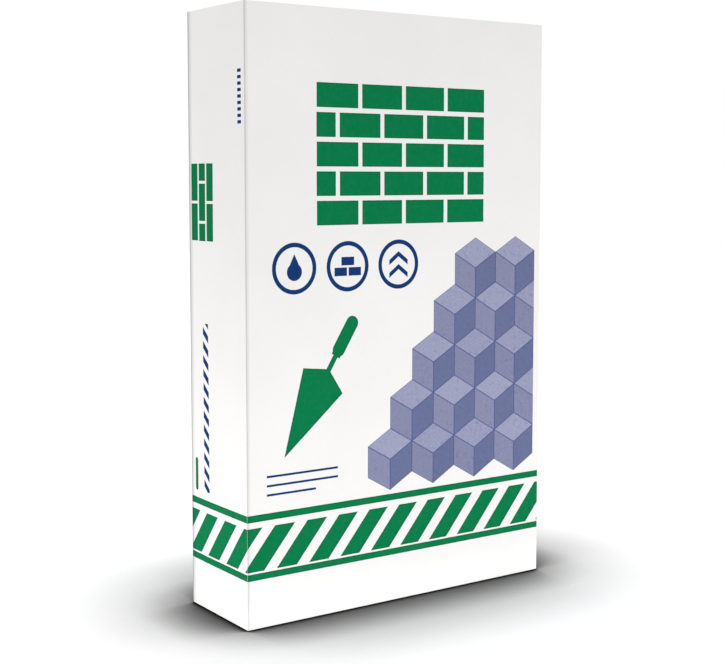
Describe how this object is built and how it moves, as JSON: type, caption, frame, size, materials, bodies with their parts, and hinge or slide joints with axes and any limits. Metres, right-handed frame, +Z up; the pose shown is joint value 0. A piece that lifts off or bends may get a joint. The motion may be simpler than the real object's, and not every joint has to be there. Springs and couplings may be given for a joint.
{
  "type": "cement bag",
  "caption": "Block-bottom valve sack of white kraft paper filled with cement, standing on its folded end, with cover patches over the ends and a flat filling valve at one top corner.",
  "frame": {"origin": "the middle of the base, on the floor under the bottom end patch", "axes": "+Z up the standing sack, +Y from the printed front face to the seamed back face, +X to the right as seen from the front, towards the filling valve"},
  "size_m": [0.37, 0.113, 0.6],
  "materials": {
    "white_kraft": "matte",
    "patch_kraft": "matte",
    "brown_kraft": "matte",
    "cement_powder": "matte"
  },
  "bodies": {
    "root": {"paper_sack": "white_kraft", "cement_fill": "cement_powder", "top_end_patch": "patch_kraft", "bottom_end_patch": "patch_kraft", "valve_sleeve": "brown_kraft"}
  },
  "joints": []
}
